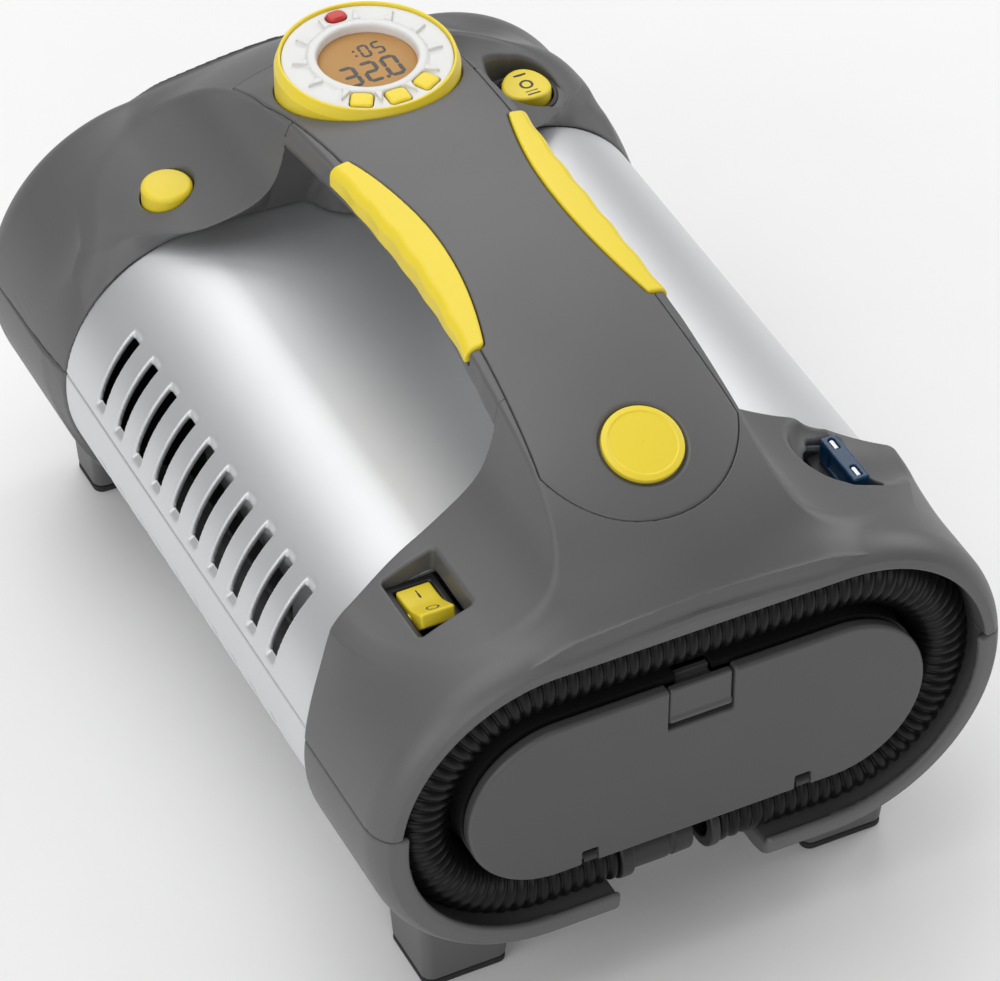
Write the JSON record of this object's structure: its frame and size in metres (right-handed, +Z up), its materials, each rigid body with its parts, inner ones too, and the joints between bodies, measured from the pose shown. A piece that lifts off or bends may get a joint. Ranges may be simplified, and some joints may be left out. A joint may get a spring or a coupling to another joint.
{
  "type": "portable air inflator",
  "caption": "Twin-barrel portable air inflator with a carry handle, digital gauge, front storage bin and a ribbed air hose stowed round the bin door.",
  "frame": {"origin": "middle of the footprint, on the floor under the foot pads", "axes": "+X to the right seen from the bin door, +Y from the bin door to the rear, +Z up"},
  "size_m": [0.188, 0.266, 0.1704],
  "materials": {
    "casing_grey": "fine-grained moulded casing",
    "door_grey": "fine-grained moulded door",
    "silver": "satin silver paint",
    "silver_plastic": "satin silver moulding",
    "yellow": "smooth yellow moulding",
    "black_plastic": "black moulding",
    "hose_black": "ribbed flexible hose",
    "rubber_black": "soft foot pad",
    "gauge_white": "white dial moulding",
    "display_amber": "amber display",
    "display_lens": "clear display window",
    "stop_red": "red key",
    "fuse_blue": "translucent blue blade fuse",
    "board_green": "coated circuit board",
    "steel": "plain steel",
    "cast_alloy": "cast alloy",
    "blower_plastic": "moulded fan parts"
  },
  "bodies": {
    "casing": {"upper_front_cap": "casing_grey", "lower_front_cap": "casing_grey", "upper_rear_cap": "casing_grey", "lower_rear_cap": "casing_grey", "handle_beam": "casing_grey", "handle_cover": "casing_grey", "upper_sleeve": "silver", "lower_sleeve": "silver", "base_tray": "silver_plastic", "grip_left": "yellow", "grip_right": "yellow", "badge_disc": "yellow", "gauge_bezel": "yellow", "front_bulkhead": "black_plastic", "accessory_bin": "black_plastic", "power_switch_body": "black_plastic", "mode_switch_body": "black_plastic", "push_switch": "black_plastic", "fuse_holder": "black_plastic", "tact_switches": "black_plastic", "board_posts": "black_plastic", "cord_gland": "black_plastic", "motor_saddle": "black_plastic", "hose_cuff": "black_plastic", "hose_end_ring": "black_plastic", "air_hose": "hose_black", "foot_pads": "rubber_black", "gauge_face": "gauge_white", "lcd_panel": "display_amber", "lcd_lens": "display_lens", "gauge_pcb": "board_green", "control_board": "board_green", "door_hinge_pin": "steel", "case_screws": "steel", "chassis_plate": "steel", "compressor_motor": "steel", "blower_motor": "steel", "gear_case": "cast_alloy", "pump_cylinder": "cast_alloy", "cylinder_head": "cast_alloy", "blower_volute": "blower_plastic", "blower_cover": "blower_plastic"},
    "door": {"bin_door": "door_grey"},
    "latch": {"door_latch": "door_grey"},
    "front_rocker": {"power_rocker": "yellow"},
    "rear_rocker": {"mode_rocker": "yellow"},
    "push": {"push_button": "yellow"},
    "key_left": {"gauge_button_left": "yellow"},
    "key_middle": {"gauge_button_middle": "yellow"},
    "key_right": {"gauge_button_right": "yellow"},
    "key_stop": {"stop_button": "stop_red"},
    "fuse": {"blade_fuse": "fuse_blue"},
    "fan_rotor": {"motor_shaft": "steel", "cooling_fan": "black_plastic"},
    "blower_rotor": {"blower_impeller": "blower_plastic", "blower_shaft": "steel"}
  },
  "joints": [
    {"name": "front_rocker_tilt", "type": "hinge", "parent": "casing", "child": "front_rocker", "pos_m": [-0.0599, -0.0921, 0.1172], "axis": [1, 0, 0], "range_deg": [0, 32]},
    {"name": "rear_rocker_tilt", "type": "hinge", "parent": "casing", "child": "rear_rocker", "pos_m": [0.0593, 0.0872, 0.1212], "axis": [1, 0, 0], "range_deg": [-10, 10]},
    {"name": "push_button_press", "type": "slide", "parent": "casing", "child": "push", "axis": [0, 0, -1], "range_m": [0, 0.0025], "stiffness_N_per_m": 400},
    {"name": "key_left_press", "type": "slide", "parent": "casing", "child": "key_left", "axis": [0, 0, -1], "range_m": [0, 0.0008], "stiffness_N_per_m": 1500},
    {"name": "key_middle_press", "type": "slide", "parent": "casing", "child": "key_middle", "axis": [0, 0, -1], "range_m": [0, 0.0008], "stiffness_N_per_m": 1500},
    {"name": "key_right_press", "type": "slide", "parent": "casing", "child": "key_right", "axis": [0, 0, -1], "range_m": [0, 0.0008], "stiffness_N_per_m": 1500},
    {"name": "key_stop_press", "type": "slide", "parent": "casing", "child": "key_stop", "axis": [0, 0, -1], "range_m": [0, 0.0008], "stiffness_N_per_m": 1500},
    {"name": "fuse_pull", "type": "slide", "parent": "casing", "child": "fuse", "axis": [0, 0, 1], "range_m": [0, 0.014]},
    {"name": "door_swing", "type": "hinge", "parent": "casing", "child": "door", "pos_m": [0, -0.131, 0.0513], "axis": [1, 0, 0], "range_deg": [0, 95]},
    {"name": "latch_press", "type": "hinge", "parent": "door", "child": "latch", "pos_m": [0, -0.131, 0.0908], "axis": [1, 0, 0], "range_deg": [-8, 0], "stiffness_Nm_per_rad": 0.05},
    {"name": "fan_spin", "type": "hinge", "parent": "casing", "child": "fan_rotor", "pos_m": [-0.044, 0.053, 0.066], "axis": [0, 1, 0], "continuous": true},
    {"name": "blower_spin", "type": "hinge", "parent": "casing", "child": "blower_rotor", "pos_m": [0.044, -0.013, 0.0725], "axis": [0, 1, 0], "continuous": true}
  ]
}
